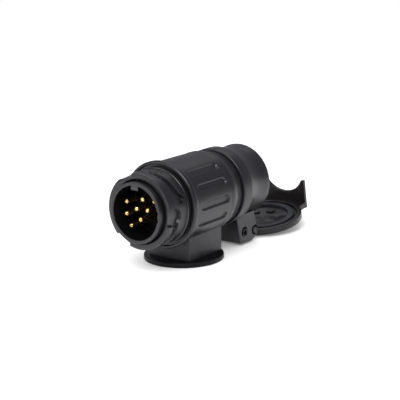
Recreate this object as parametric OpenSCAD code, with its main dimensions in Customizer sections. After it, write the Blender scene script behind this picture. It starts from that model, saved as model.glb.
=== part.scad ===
// Compact trailer wiring adapter: a 13-way bayonet plug at the -Y end and a
// 7-way socket with a hinged lid at the +Y end. A twist grip turns on the core.
// The barrel axis runs along Y. The origin is the centre of the foot's underside.

/* [Barrel axis] */
// Height of the barrel axis above the foot's underside
axis_h = 35.6; // [35:0.1:37]

/* [Plug] */
// Y of the plug's mouth
mouth_y = -44.1; // [-45:0.1:-43.5]
// Outer radius of the plug's shroud
shroud_r = 17.45; // [17.3:0.05:17.6]
// Inner radius of the plug's shroud
shroud_bore_r = 15.4; // [15.2:0.05:15.5]
// Radius of a contact pin
pin_r = 1.5; // [1.3:0.05:1.6]
// How far the pins' tips stand back from the mouth
pin_recess = 4.8; // [4:0.1:7]

/* [Bayonet sleeve] */
// Y of the sleeve's front edge
sleeve_y = -40.5; // [-41:0.1:-40]
// Outer radius of the sleeve
sleeve_r = 21.75; // [21.5:0.05:21.9]
// Width of a bayonet groove
groove_w = 4.3; // [4:0.1:4.6]
// Depth of a bayonet groove
groove_depth = 1.9; // [1.5:0.1:2]
// Angle that a bayonet groove covers after its entry
groove_sweep = 87; // [80:1:90]

/* [Grip] */
// Largest radius of the grip, at its front bead
grip_r = 25.2; // [25:0.05:25.4]
// Radius of the fluted body behind the bead
body_r = 23.95; // [23.8:0.05:24.1]
// Depth of a flute in the grip
flute_depth = 1.1; // [0.8:0.1:1.3]
// Radius of the flat foot
foot_r = 23.2; // [22.8:0.05:23.5]
// Thickness of the flat foot
foot_t = 2.9; // [2.5:0.1:3.2]
// Half width of the post along X
post_half_w = 14.4; // [14:0.1:14.5]

/* [Socket barrel] */
// Y of the barrel's front face
barrel_y = 28.8; // [28.7:0.05:29]
// Y of the socket's rim
rim_y = 57.5; // [57.3:0.05:57.6]
// Outer radius of the rim
rim_r = 21.4; // [21.3:0.05:21.45]
// Radius of the socket's bore
bore_r = 18.3; // [18.2:0.05:18.4]
// Outer radius of the front band
band_r = 23.3; // [23:0.05:23.5]
// Radius of the contact block's island
island_r = 13.2; // [13:0.05:13.3]
// Radius of the ring of six contacts
contact_ring_r = 9.2; // [9.1:0.05:9.3]

/* [Lid] */
// Y of the hinge pin
hinge_y = 52.5; // [52.5:0.05:52.7]
// Height of the hinge pin
hinge_z = 6.8; // [6.75:0.05:6.9]
// Radius of the hinge pin
hinge_pin_r = 2.1; // [2:0.05:2.1]
// Tilt of the open lid above level
lid_tilt = 9.8; // [9.4:0.1:10.2]
// Outer radius of the lid's disc
lid_r = 24.4; // [24.2:0.05:24.5]
// Half width of the claw and its plate
claw_half_w = 15.4; // [15:0.1:15.6]
// Height of the claw's tips above the hinge axis, square to the lid
claw_top = 10.6; // [10.2:0.1:11]

/* [Hidden] */
PIN_COUNT = 8;
WAY_COUNT = 7;
$fn = 96;

gap = 0.05;                 // running or assembly clearance, per side
eps = 0.5;                  // how far a cutter runs past a face

// Plug insert
carrier_y = -26;            // front face of the pin carrier
carrier_back_y = -20;       // back face of the pin carrier
neck_end_y = 35.6;          // end of the neck that passes into the barrel
neck_r = 16;                // radius of the neck inside the barrel wall
neck_bore_r = 14.6;
collar_r = 19.6;            // collar that keeps the grip on the insert
collar_y = -19;
collar_t = 2;
key_half_w = 2.4;           // key rib inside the shroud, at the top
key_inner_r = 12.9;
key_len = 13;
pin_flange_r = 2.2;
pin_tail_r = 1;
pin_tail_end_y = -15.5;
// x and height of each fitted pin, from the barrel axis
pin_spots = [[-10.4, 4.3], [1, 6.8], [-3.3, 0.9], [4.3, 0.9], [-10.6, -2.8], [-0.6, -5],
    [-7.3, -9.3], [9.3, 6.7]];

// Bayonet sleeve
sleeve_bore_r = 18.2;
spigot_r = 20.5;            // rear part of the sleeve, inside the grip
seal_y = -24.6;             // rear face of the sleeve's outer part
entry_angles = [117, 237, 357];
entry_r = 5.1;              // half width of a groove's entry, and radius of its rear end
entry_y = sleeve_y + 4.6;   // centre of the entry's round end
groove_steps = 8;

// Grip
grip_front_y = -22.2;
grip_shoulder_y = -16.7;
land_end_y = -10;
rear_land_y = 19;
grip_end_y = 27.7;
grip_relief_r = 20.9;
rear_ring_y = 17.5;
flute_angles = [51, 26, 1, -24];
flute_w = 4.2;
flute_y0 = -14.5;
flute_y1 = 12.6;
post_y0 = -14;
post_y1 = 17.4;
post_wall = 2.6;

// Barrel
wall_back_y = 33;           // back of the barrel's front wall
band_end_y = 37.4;          // end of the barrel's front band
shoulder_y = 38;            // step that the contact block sits on
shoulder_r = 17.85;
seat_y = 56;                // seat inside the rim, for the lid's gasket
seat_r = 20.4;
block_half_w = 14.5;        // half width of the hinge block
slot_half_w = 6.6;          // half width of the gap between the hinge ears
slot_y0 = 44.9;
slot_top_z = 11.5;
recess_r = 3.1;             // shallow recess round the end of each cross pin
recess_depth = 1.2;
tube_y = 42;
tube_z = 7.4;
tube_r = 2.4;
tube_bore_r = 1.65;

// Contact block
block_base_t = 4;
island_end_y = 53.5;
contact_r = 2.75;
contact_bore_r = 2.5;
contact_y = 42;             // bottom of a contact's bore
contact_flange_r = 3.3;
contact_flange_t = 1.5;
contact_end_y = 53.2;
contact_tail_y = 33.5;
screw_ring_r = 10.9;
screw_shank_r = 1.2;
screw_head_r = 1.9;
way_spots = concat([[0, 0]], [for (i = [0:5]) contact_ring_r * [cos(90 + 60 * i), sin(90 + 60 * i)]]);

// Wires: pin and contact that each wire joins
wire_from = [6, 2, 1, 5, 7, 3, 4];
wire_to = [6, 2, 3, 4, 5, 1, 7];
wire_r = 0.9;
wire_sides = 8;
wire_rings = 14;

// Lid, in its own frame: y runs along the lid from the hinge, z is square to it
lid_reach = axis_h - hinge_z;
lid_face_z = -3.55;         // face of the raised lip
lid_back_z = -7.3;
lip_bore_r = 21.6;
groove_floor_z = -5.4;
gasket_top_z = -3.55;
gasket_r = 19.5;
gasket_bore_r = 15.9;
dimple_r = 2.7;
dimple_depth = 0.8;
plate_y0 = 40;
claw_y = 54.6;              // face of the claw towards the barrel
claw_t = 2.1;
claw_foot_z = -7.6;         // underside of the claw
claw_arc_z = 16.6;
claw_arc_r = 14.6;
knuckle_r = 4.2;
knuckle_half_w = 6.3;

plastic = "#2b2c30";
rubber = "#1b1c1f";
brass = "#c9a24b";
steel = "#a7abb0";

function arc_points(cx, cy, r, a0, a1, n) =
    [for (i = [0:n]) [cx + r * cos(a0 + (a1 - a0) * i / n), cy + r * sin(a0 + (a1 - a0) * i / n)]];

// Turns an outline of [radius, y] points round the barrel axis
module turned(outline) {
    translate([0, 0, axis_h]) rotate([-90, 0, 0]) rotate_extrude() polygon(outline);
}

// Plain ring or disc round the barrel axis
module ring(r, bore, y0, y1) {
    turned([[bore, y0], [r, y0], [r, y1], [bore, y1]]);
}

// Round bar along Y at an x and height measured from the barrel axis
module bar(spot, r, y0, y1) {
    translate([spot[0], y0, axis_h + spot[1]]) rotate([-90, 0, 0]) cylinder(r = r, h = y1 - y0);
}

// Local frame at an angle round the barrel: x points outwards, z along the rising angle
module at_angle(a) {
    translate([0, 0, axis_h]) rotate([0, -a, 0]) children();
}

// Outward-facing prism of [z, y] points that starts at radius r0
module radial_prism(r0, depth, points) {
    translate([r0, 0, 0]) rotate([0, 90, 0]) linear_extrude(height = depth) polygon(points);
}

// ---- Plug core ----

module plug_insert() {
    color(plastic) difference() {
        union() {
            ring(shroud_r, shroud_bore_r, mouth_y, carrier_y + 1);
            ring(shroud_r, 0, carrier_y, carrier_back_y);
            ring(shroud_r, neck_bore_r, carrier_back_y - 1, barrel_y - 0.4);
            ring(neck_r, neck_bore_r, barrel_y - 1, neck_end_y);
            ring(collar_r, neck_bore_r, collar_y, collar_y + collar_t);
            translate([-key_half_w, mouth_y, axis_h + key_inner_r])
                cube([2 * key_half_w, key_len, shroud_bore_r - key_inner_r + 0.8]);
        }
        for (spot = pin_spots) {
            bar(spot, pin_r + gap, carrier_y - eps, carrier_back_y + eps);
            bar(spot, pin_flange_r + gap, carrier_back_y - 1.5, carrier_back_y + eps);
        }
        // Groove for the neck seal
        ring(shroud_r + 1, shroud_r - 1.5, -14.4, -12.6);
        // Small keyways on the shroud's inner edge
        for (a = [7, -9])
            at_angle(a) translate([shroud_bore_r - 1, mouth_y - eps, -0.9]) cube([1.7, 9, 1.8]);
    }
}

module pin_retainer() {
    color(plastic) difference() {
        ring(neck_bore_r - gap, 0, carrier_back_y + gap, carrier_back_y + 2);
        for (spot = pin_spots) bar(spot, pin_tail_r + gap, carrier_back_y - eps, carrier_back_y + 3);
    }
}

module plug_pin(i) {
    tip_y = mouth_y + pin_recess;
    spot = pin_spots[i - 1];
    color(brass) translate([spot[0], 0, axis_h + spot[1]]) rotate([-90, 0, 0]) rotate_extrude($fn = 48)
        polygon(concat(
            [[0, pin_tail_end_y], [0, tip_y]],
            arc_points(0, tip_y + pin_r, pin_r, -80, 0, 8),
            [[pin_r, carrier_back_y - 1.4], [pin_flange_r, carrier_back_y - 1.4],
             [pin_flange_r, carrier_back_y], [pin_tail_r, carrier_back_y], [pin_tail_r, pin_tail_end_y]]));
}

module neck_seal() {
    color(rubber) translate([0, 0, axis_h]) rotate([-90, 0, 0]) translate([0, 0, -13.5])
        rotate_extrude() translate([shroud_r - 0.76, 0]) circle(r = 0.72, $fn = 24);
}

module neck_gasket() {
    color(rubber) ring(shroud_r - 0.1, neck_r + gap, barrel_y - 0.4, barrel_y);
}

module neck_nut() {
    color(steel) difference() {
        ring(17.6, neck_r + gap, wall_back_y, wall_back_y + 2.2);
        for (a = [0:90:270])
            at_angle(a) translate([16.8, wall_back_y + 1.2, -1]) cube([2, 2, 2]);
    }
}

module jumper_wire(i) {
    from = pin_spots[wire_from[i - 1] - 1];
    to = way_spots[wire_to[i - 1] - 1];
    y0 = pin_tail_end_y;
    y1 = contact_tail_y;
    // Straight at both ends, with a smooth crossing between them
    ease = [for (k = [0:wire_rings]) let (t = k / wire_rings) t * t * (3 - 2 * t)];
    points = [for (k = [0:wire_rings], s = [0:wire_sides - 1])
        [from[0] + (to[0] - from[0]) * ease[k] + wire_r * cos(360 * s / wire_sides),
         y0 + (y1 - y0) * k / wire_rings,
         axis_h + from[1] + (to[1] - from[1]) * ease[k] + wire_r * sin(360 * s / wire_sides)]];
    last = wire_rings * wire_sides;
    faces = concat(
        [[for (s = [0:wire_sides - 1]) wire_sides - 1 - s]],
        [[for (s = [0:wire_sides - 1]) last + s]],
        [for (k = [0:wire_rings - 1], s = [0:wire_sides - 1]) let (n = (s + 1) % wire_sides)
            [k * wire_sides + s, k * wire_sides + n, (k + 1) * wire_sides + n, (k + 1) * wire_sides + s]]);
    color("#7a2f2a") polyhedron(points, faces);
}

// ---- Twist grip ----

// Centre line of a bayonet groove: angle after the entry and y, for t from 0 to 1
function groove_point(t) = [8 + groove_sweep * t, sleeve_y + 5.7 + 3.3 * t + 2.6 * pow(t, 8)];

module bayonet_groove() {
    floor_r = sleeve_r - groove_depth;
    // Entry that is open at the front edge and round at the rear
    radial_prism(floor_r, 4, concat([[-entry_r, sleeve_y - 1], [entry_r, sleeve_y - 1]],
        arc_points(0, entry_y, entry_r, 0, 180, 16)));
    for (k = [0:groove_steps - 1]) {
        p = groove_point(k / groove_steps);
        q = groove_point((k + 1) / groove_steps);
        mid = (p + q) / 2;
        run = floor_r * (q[0] - p[0]) * PI / 180;
        rise = q[1] - p[1];
        rotate([0, mid[0], 0]) translate([floor_r, mid[1], 0]) rotate([atan2(rise, run), 0, 0])
            translate([0, -groove_w / 2, -norm([run, rise]) / 2 - 0.3])
                cube([4, groove_w, norm([run, rise]) + 0.6]);
    }
    // Round pocket that the lug drops into at the end of the twist
    end = groove_point(1);
    rotate([0, end[0], 0]) translate([floor_r - 0.2, end[1], 0]) rotate([0, 90, 0])
        cylinder(r = groove_w / 2 + 0.7, h = 4);
}

module bayonet_sleeve() {
    color(plastic) difference() {
        turned([[sleeve_bore_r, sleeve_y + 0.4], [sleeve_bore_r + 0.4, sleeve_y], [sleeve_r - 0.6, sleeve_y],
            [sleeve_r, sleeve_y + 0.6], [sleeve_r, seal_y], [spigot_r, seal_y], [spigot_r, collar_y - 0.3],
            [sleeve_bore_r, collar_y - 0.3]]);
        for (a = entry_angles) at_angle(a) bayonet_groove();
    }
}

module front_seal() {
    color(rubber) turned(concat([[spigot_r + gap, seal_y + 1.2], [spigot_r + gap, seal_y]],
        arc_points(spigot_r + 1, seal_y + 0.6, 0.6, -90, 90, 8)));
}

module flute(a) {
    at_angle(a) {
        for (y = [flute_y0 + flute_w / 2, flute_y1 - flute_w / 2])
            translate([body_r - flute_depth, y, 0]) rotate([0, 90, 0])
                cylinder(r = flute_w / 2, h = 4, $fn = 48);
        translate([body_r - flute_depth, flute_y0 + flute_w / 2, -flute_w / 2])
            cube([4, flute_y1 - flute_y0 - flute_w, flute_w]);
    }
}

module grip_body() {
    bead_r = 1.3;
    outline = concat(
        // Front face, dark channel behind the seal, and the rounded front bead
        [[spigot_r + gap, seal_y + 1.3], [22.1, seal_y + 1.3], [22.1, -20.6], [23.2, -20.6],
        [23.3, grip_front_y + 0.3]],
        arc_points(grip_r - bead_r, grip_front_y + bead_r, bead_r, -90, 0, 8),
        [[grip_r, -19.4], [body_r + 0.2, -18.2], [body_r, -17.6], [body_r - 0.25, 15.8],
         [body_r - 0.1, rear_ring_y - 0.7]],
        // Taper to the rear edge
        arc_points(body_r - 12.1, rear_ring_y, 12, 0, 28, 6),
        [[22.2, grip_end_y - 0.4], [21.8, grip_end_y], [shroud_r + gap, grip_end_y],
         [shroud_r + gap, rear_land_y], [grip_relief_r, rear_land_y], [grip_relief_r, land_end_y],
         [shroud_r + gap, land_end_y], [shroud_r + gap, grip_shoulder_y],
         [spigot_r + gap, grip_shoulder_y]]);
    inner_w = 2 * (post_half_w - post_wall);
    color(plastic) difference() {
        union() {
            turned(outline);
            difference() {
                translate([-post_half_w, post_y0, foot_t])
                    cube([2 * post_half_w, post_y1 - post_y0, axis_h - foot_t - 14]);
                ring(body_r - 1.3, 0, post_y0 - 1, post_y1 + 1);
                // The post is cored out from below
                translate([-inner_w / 2, post_y0 + post_wall, foot_t - 1])
                    cube([inner_w, post_y1 - post_y0 - 2 * post_wall, 9]);
            }
        }
        for (a = flute_angles, side = [a, 180 - a]) flute(side);
        // Index notch at the top of the front bead
        translate([-0.4, grip_front_y - 1, axis_h + grip_r - 0.5]) cube([0.8, 3, 2]);
    }
}

module rest_foot() {
    edge = 0.7;
    color(plastic) rotate_extrude() polygon(concat([[0, 0], [foot_r - edge, 0]],
        arc_points(foot_r - edge, edge, edge, -90, 0, 4),
        arc_points(foot_r - edge, foot_t - edge, edge, 0, 90, 4),
        [[0, foot_t]]));
}

// ---- Socket barrel ----

module barrel_outside() {
    turned([[0, barrel_y], [band_r - 0.4, barrel_y], [band_r, barrel_y + 0.5], [band_r, band_end_y - 0.6],
        [band_r - 0.6, band_end_y + 0.6], [band_r - 1.6, 42.5], [band_r - 2.1, 45.5], [band_r - 2.3, 51],
        [rim_r, 55], [rim_r, rim_y - 0.4], [rim_r - 0.4, rim_y], [0, rim_y]]);
}

module hinge_block() {
    outline = concat([[33, 19], [33.2, 16.6], [36.7, 1.8], [37.6, 1.1], [48.5, 1.1], [52.9, 2.6]],
        arc_points(52.05, 6.15, 3.2, -52, 12, 6), [[51.4, 17.5], [51, 19]]);
    translate([-block_half_w, 0, 0]) rotate([90, 0, 90])
        linear_extrude(height = 2 * block_half_w) polygon(outline);
}

module barrel() {
    color(plastic) difference() {
        union() {
            barrel_outside();
            hinge_block();
        }
        ring(neck_r + gap, 0, barrel_y - 5, wall_back_y + 1);
        ring(shoulder_r, 0, wall_back_y, shoulder_y + 1);
        ring(bore_r, 0, shoulder_y, rim_y + eps);
        ring(seat_r, 0, seat_y, rim_y + eps);
        // Groove for the ring that holds the contact block
        ring(bore_r + 0.7, 0, shoulder_y + block_base_t, shoulder_y + block_base_t + 1.1);
        // Keyway at the top of the bore
        translate([-2.6, shoulder_y + block_base_t, axis_h + bore_r - 1]) cube([5.2, 20, 2.2]);
        // Gap between the hinge ears
        translate([-slot_half_w, slot_y0, -1]) cube([2 * slot_half_w, 20, slot_top_z + 1]);
        translate([-20, hinge_y, hinge_z]) rotate([0, 90, 0]) cylinder(r = hinge_pin_r, h = 40);
        translate([-20, tube_y, tube_z]) rotate([0, 90, 0]) cylinder(r = tube_r, h = 40);
        for (side = [-1, 1], spot = [[hinge_y - 0.9, hinge_z + 0.3], [tube_y - 1.1, tube_z + 0.8]])
            translate([side * (block_half_w - recess_depth / 2), spot[0], spot[1]]) rotate([0, 90, 0])
                cylinder(r = recess_r, h = recess_depth + 0.01, center = true);
    }
}

module socket_block() {
    color(plastic) difference() {
        union() {
            ring(bore_r - gap, 0, shoulder_y, shoulder_y + block_base_t);
            turned([[0, shoulder_y + 1], [island_r, shoulder_y + 1], [island_r, island_end_y - 0.5],
                [island_r - 0.5, island_end_y], [0, island_end_y]]);
        }
        for (spot = way_spots) {
            bar(spot, contact_r + gap, shoulder_y - eps, island_end_y + eps);
            bar(spot, contact_flange_r + gap, shoulder_y - eps, shoulder_y + contact_flange_t + gap);
        }
        for (side = [-1, 1]) {
            bar([side * screw_ring_r, 0], screw_shank_r + gap, shoulder_y - eps, island_end_y + eps);
            bar([side * screw_ring_r, 0], screw_head_r + gap, island_end_y - 1.8, island_end_y + eps);
        }
    }
}

module contact_retainer() {
    color(plastic) difference() {
        ring(shoulder_r - gap, 0, neck_end_y + 0.2, shoulder_y);
        for (spot = way_spots) bar(spot, pin_tail_r + gap, neck_end_y - eps, shoulder_y + eps);
        for (side = [-1, 1])
            bar([side * screw_ring_r, 0], screw_shank_r + gap, neck_end_y - eps, shoulder_y + eps);
    }
}

module socket_contact(i) {
    spot = way_spots[i - 1];
    flange_y = shoulder_y + contact_flange_t;
    color(brass) translate([spot[0], 0, axis_h + spot[1]]) difference() {
        rotate([-90, 0, 0]) rotate_extrude($fn = 48)
            polygon([[0, contact_tail_y], [pin_tail_r, contact_tail_y], [pin_tail_r, shoulder_y + gap],
                [contact_flange_r, shoulder_y + gap], [contact_flange_r, flange_y], [contact_r, flange_y],
                [contact_r, contact_end_y], [contact_bore_r, contact_end_y], [contact_bore_r, contact_y],
                [0, contact_y]]);
        // Slit that lets the tube grip a pin
        translate([-0.25, contact_y + 2, 0]) cube([0.5, 20, 5]);
    }
}

module block_ring() {
    y0 = shoulder_y + block_base_t + gap;
    color(steel) difference() {
        ring(bore_r + 0.6, bore_r - 0.8, y0, y0 + 1);
        at_angle(90) translate([bore_r - 2, y0 - 1, -3.4]) cube([5, 4, 6.8]);
    }
}

module block_screws() {
    head_y = island_end_y - 1.8;
    color(steel) for (side = [-1, 1]) difference() {
        union() {
            bar([side * screw_ring_r, 0], screw_shank_r, neck_end_y + 0.2, head_y + 0.2);
            bar([side * screw_ring_r, 0], screw_head_r, head_y, island_end_y - 0.1);
        }
        translate([side * screw_ring_r - 0.3, island_end_y - 0.8, axis_h - 1.5]) cube([0.6, 2, 3]);
        translate([side * screw_ring_r - 1.5, island_end_y - 0.8, axis_h - 0.3]) cube([3, 2, 0.6]);
    }
}

module hinge_pin() {
    color(steel) translate([-block_half_w, hinge_y, hinge_z]) rotate([0, 90, 0])
        cylinder(r = hinge_pin_r, h = 2 * block_half_w);
}

module cross_tube() {
    color(steel) translate([-block_half_w, tube_y, tube_z]) rotate([0, 90, 0]) difference() {
        cylinder(r = tube_r, h = 2 * block_half_w);
        translate([0, 0, -1]) cylinder(r = tube_bore_r, h = 2 * block_half_w + 2);
    }
}

// ---- Lid ----

// The lid's own frame at rest
module lid_frame() {
    translate([0, hinge_y, hinge_z]) rotate([lid_tilt, 0, 0]) children();
}

// Prism across the lid, from an outline in its own y and z
module lid_prism(half_w, points) {
    translate([-half_w, 0, 0]) rotate([90, 0, 90]) linear_extrude(height = 2 * half_w) polygon(points);
}

module lid_claw() {
    difference() {
        translate([-claw_half_w, claw_y, claw_foot_z])
            cube([2 * claw_half_w, claw_t, claw_top - claw_foot_z]);
        translate([0, claw_y - 1, claw_arc_z]) rotate([-90, 0, 0]) cylinder(r = claw_arc_r, h = claw_t + 2);
    }
}

module lid_knuckle() {
    difference() {
        union() {
            translate([-knuckle_half_w, 0, 0]) rotate([0, 90, 0])
                cylinder(r = knuckle_r, h = 2 * knuckle_half_w);
            lid_prism(knuckle_half_w, [[3.7, -1.8], [6.2, lid_face_z], [8, lid_face_z], [8, lid_back_z],
                [5.4, lid_back_z], [1.2, -4], [0, 0]]);
            // Heel that meets the top of the gap when the lid is fully open
            rotate([-lid_tilt, 0, 0])
                lid_prism(knuckle_half_w, [[0, 4.1], [-1, 4.5], [-4.4, 4.5], [-5, 3.4], [-3, 0], [0, 0]]);
        }
        translate([-10, 0, 0]) rotate([0, 90, 0]) cylinder(r = hinge_pin_r + gap, h = 20);
    }
}

module lid() {
    color(plastic) lid_frame() {
        difference() {
            union() {
                translate([0, lid_reach, lid_back_z]) cylinder(r = lid_r, h = lid_face_z - lid_back_z);
                lid_knuckle();
                translate([-claw_half_w, plate_y0, lid_back_z])
                    cube([2 * claw_half_w, claw_y - plate_y0 + 1, lid_face_z - lid_back_z]);
            }
            translate([0, lid_reach, groove_floor_z]) cylinder(r = lip_bore_r, h = 20);
            for (spot = way_spots)
                translate([spot[0], lid_reach + spot[1], groove_floor_z - dimple_depth])
                    cylinder(r = dimple_r, h = 4, $fn = 48);
        }
        lid_claw();
    }
}

module lid_gasket() {
    edge = 0.4;
    color(rubber) lid_frame() translate([0, lid_reach, 0]) rotate_extrude()
        polygon([[gasket_bore_r, groove_floor_z], [gasket_r, groove_floor_z],
            [gasket_r, gasket_top_z - edge], [gasket_r - edge, gasket_top_z],
            [gasket_bore_r + edge, gasket_top_z], [gasket_bore_r, gasket_top_z - edge]]);
}

// ---- Assembly ----

plug_insert();
pin_retainer();
for (i = [1:PIN_COUNT]) plug_pin(i);
neck_seal();
neck_gasket();
neck_nut();
bayonet_sleeve();
front_seal();
grip_body();
rest_foot();
barrel();
socket_block();
contact_retainer();
block_ring();
block_screws();
for (i = [1:WAY_COUNT]) socket_contact(i);
for (i = [1:WAY_COUNT]) jumper_wire(i);
hinge_pin();
cross_tube();
lid();
lid_gasket();
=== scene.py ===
import math
import bmesh
import bpy
from mathutils import Matrix, Vector


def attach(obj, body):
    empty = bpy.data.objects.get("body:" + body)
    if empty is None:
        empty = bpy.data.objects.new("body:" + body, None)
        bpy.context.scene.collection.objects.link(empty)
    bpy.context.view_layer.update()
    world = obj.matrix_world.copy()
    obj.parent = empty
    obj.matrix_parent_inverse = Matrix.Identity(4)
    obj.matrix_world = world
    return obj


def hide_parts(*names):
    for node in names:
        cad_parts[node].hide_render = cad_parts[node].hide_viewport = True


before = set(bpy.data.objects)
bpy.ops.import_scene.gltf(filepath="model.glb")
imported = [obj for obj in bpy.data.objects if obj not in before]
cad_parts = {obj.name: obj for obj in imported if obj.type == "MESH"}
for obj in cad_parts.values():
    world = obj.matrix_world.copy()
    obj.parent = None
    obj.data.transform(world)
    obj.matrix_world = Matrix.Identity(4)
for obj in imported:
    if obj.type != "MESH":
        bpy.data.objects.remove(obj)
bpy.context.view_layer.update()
print("frame loaded:", len(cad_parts), "nodes")

scene = bpy.context.scene
millimetre = 0.001
axisHeight = 35.6          # barrel axis above the underside of the foot
axisPoint = Vector((0, 0, axisHeight))
fullTurn = 2 * math.pi

# view camera
cameraSetup = {
    "azimuth": 36.281,       # degrees round from -Y towards +X
    "elevation": 13.924,
    "distance": 810.76,
    "target": (14.12, -2.87, 36.55),
    "roll": -0.673,
    "lens": 129.197,
    "sensor": 36.0,
}


def addCamera(setup):
    data = bpy.data.cameras.new("viewCamera")
    data.lens, data.sensor_width = setup["lens"], setup["sensor"]
    data.clip_start, data.clip_end = 0.01, 20
    camera = bpy.data.objects.new("viewCamera", data)
    scene.collection.objects.link(camera)
    azimuth, elevation = math.radians(setup["azimuth"]), math.radians(setup["elevation"])
    back = Vector((math.sin(azimuth) * math.cos(elevation), -math.cos(azimuth) * math.cos(elevation),
                   math.sin(elevation)))
    right = Vector((0, 0, 1)).cross(back).normalized()
    up = back.cross(right)
    roll = math.radians(setup["roll"])
    right, up = right * math.cos(roll) + up * math.sin(roll), up * math.cos(roll) - right * math.sin(roll)
    turn = Matrix((right, up, back)).transposed()
    place = (Vector(setup["target"]) + back * setup["distance"]) * millimetre
    camera.matrix_world = Matrix.Translation(place) @ turn.to_4x4()
    scene.camera = camera


addCamera(cameraSetup)
print("camera placed")


# making meshes
def spinOutline(outline, steps, rounding=0.0, corners=(), segments=3, closed=True, centre=(0, 0, axisHeight)):
    # outline holds (radius, y) points; corners lists the points that get rounded
    bm = bmesh.new()
    points = [bm.verts.new((centre[0] + radius, centre[1] + y, centre[2])) for radius, y in outline]
    for start, end in zip(points, points[1:]):
        bm.edges.new((start, end))
    if closed:
        bm.edges.new((points[-1], points[0]))
    if rounding:
        bmesh.ops.bevel(bm, geom=[points[i] for i in corners], offset=rounding, offset_type="OFFSET",
                        segments=segments, profile=0.5, affect="VERTICES", material=-1)
    bmesh.ops.spin(bm, geom=bm.verts[:] + bm.edges[:], cent=centre, axis=(0, 1, 0), angle=fullTurn,
                   steps=steps, use_merge=True)
    bmesh.ops.remove_doubles(bm, verts=bm.verts[:], dist=0.0005)
    bmesh.ops.recalc_face_normals(bm, faces=bm.faces[:])
    return bm


def extrudeOutline(outline, low, high):
    # outline holds (y, z) points; the solid runs from x = low to x = high
    bm = bmesh.new()
    face = bm.faces.new([bm.verts.new((low, y, z)) for y, z in outline])
    made = bmesh.ops.extrude_face_region(bm, geom=[face], use_keep_orig=True)
    moved = [g for g in made["geom"] if isinstance(g, bmesh.types.BMVert)]
    bmesh.ops.translate(bm, vec=(high - low, 0, 0), verts=moved)
    bmesh.ops.recalc_face_normals(bm, faces=bm.faces[:])
    return bm


def makeBlock(low, high):
    bm = bmesh.new()
    bmesh.ops.create_cube(bm, size=1)
    size, middle = Vector(high) - Vector(low), (Vector(high) + Vector(low)) / 2
    bmesh.ops.scale(bm, vec=size, verts=bm.verts[:])
    bmesh.ops.translate(bm, vec=middle, verts=bm.verts[:])
    return bm


def makeRod(start, end, radius, sides=48, rounding=0.0, segments=3):
    bm = bmesh.new()
    start, end = Vector(start), Vector(end)
    along = end - start
    bmesh.ops.create_cone(bm, cap_ends=True, segments=sides, radius1=radius, radius2=radius, depth=along.length)
    if rounding:
        softenEdges(bm, rounding, segments, 60)
    turn = along.to_track_quat("Z", "Y").to_matrix().to_4x4()
    bmesh.ops.transform(bm, matrix=Matrix.Translation((start + end) / 2) @ turn, verts=bm.verts[:])
    return bm


def softenEdges(bm, width, segments, sharperThan, chosen=None):
    # rounds the edges that turn by more than the given angle
    limit = math.radians(sharperThan)
    edges = [e for e in bm.edges if len(e.link_faces) == 2 and e.calc_face_angle(0) > limit
             and (chosen is None or chosen(e))]
    bmesh.ops.bevel(bm, geom=edges, offset=width, offset_type="OFFSET", segments=segments, profile=0.5,
                    affect="EDGES", clamp_overlap=True, material=-1)


def arcPoints(centre, radius, startAngle, endAngle, count):
    angles = [math.radians(startAngle + (endAngle - startAngle) * i / count) for i in range(count + 1)]
    return [(centre[0] + radius * math.cos(a), centre[1] + radius * math.sin(a)) for a in angles]


def easeStep(low, high, value):
    t = min(1.0, max(0.0, (value - low) / (high - low)))
    return t * t * (3 - 2 * t)


def placeMesh(bm, name):
    # moves the mesh from millimetres to metres and links an object at the origin
    bmesh.ops.scale(bm, vec=(millimetre,) * 3, verts=bm.verts[:])
    mesh = bpy.data.meshes.new(name)
    bm.to_mesh(mesh)
    bm.free()
    piece = bpy.data.objects.new(name, mesh)
    scene.collection.objects.link(piece)
    return piece


def applyTool(piece, toolPiece, operation):
    # one object cuts or joins the piece, and is then removed
    step = piece.modifiers.new("combine", "BOOLEAN")
    step.operation, step.solver, step.object = operation, "EXACT", toolPiece
    bpy.context.view_layer.update()
    made = bpy.data.meshes.new_from_object(piece.evaluated_get(bpy.context.evaluated_depsgraph_get()))
    piece.modifiers.clear()
    old, piece.data = piece.data, made
    bpy.data.meshes.remove(old)
    bpy.data.objects.remove(toolPiece)
    piece.data.name = piece.name


def combine(piece, tools, operation="DIFFERENCE"):
    for tool in tools:
        applyTool(piece, placeMesh(tool, "tool"), operation)


def finishPiece(piece, body, material, nodes=(), sharperThan=32):
    bm = bmesh.new()
    bm.from_mesh(piece.data)
    bmesh.ops.remove_doubles(bm, verts=bm.verts[:], dist=1e-7)
    bmesh.ops.dissolve_degenerate(bm, dist=1e-7, edges=bm.edges[:])
    bmesh.ops.recalc_face_normals(bm, faces=bm.faces[:])
    for face in bm.faces:
        face.smooth = True
    bm.to_mesh(piece.data)
    bm.free()
    piece.data.set_sharp_from_angle(angle=math.radians(sharperThan))
    piece.data.materials.clear()
    piece.data.materials.append(material)
    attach(piece, body)
    if nodes:
        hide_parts(*nodes)
    return piece


def pressRadially(bm, lowRadius, yRange, radiusAt):
    # presses a pattern into a turned surface; radiusAt gives a point's new radius
    for vert in bm.verts:
        x, z = vert.co.x, vert.co.z - axisHeight
        radius = math.hypot(x, z)
        if radius < lowRadius or not yRange[0] <= vert.co.y <= yRange[1]:
            continue
        newRadius = radiusAt(math.degrees(math.atan2(z, x)), vert.co.y, radius)
        vert.co.x, vert.co.z = x * newRadius / radius, axisHeight + z * newRadius / radius


# surface finishes
def startMaterial(name):
    material = bpy.data.materials.new(name)
    material.use_nodes = True
    material.node_tree.nodes.clear()
    return material, material.node_tree.nodes, material.node_tree.links


def layOut(rows, left=-1500, top=400):
    # rows of nodes, one row for each effect, set side by side
    for rowIndex, row in enumerate(rows):
        for columnIndex, node in enumerate(row):
            node.location = (left + 230 * columnIndex, top - 330 * rowIndex)


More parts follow.
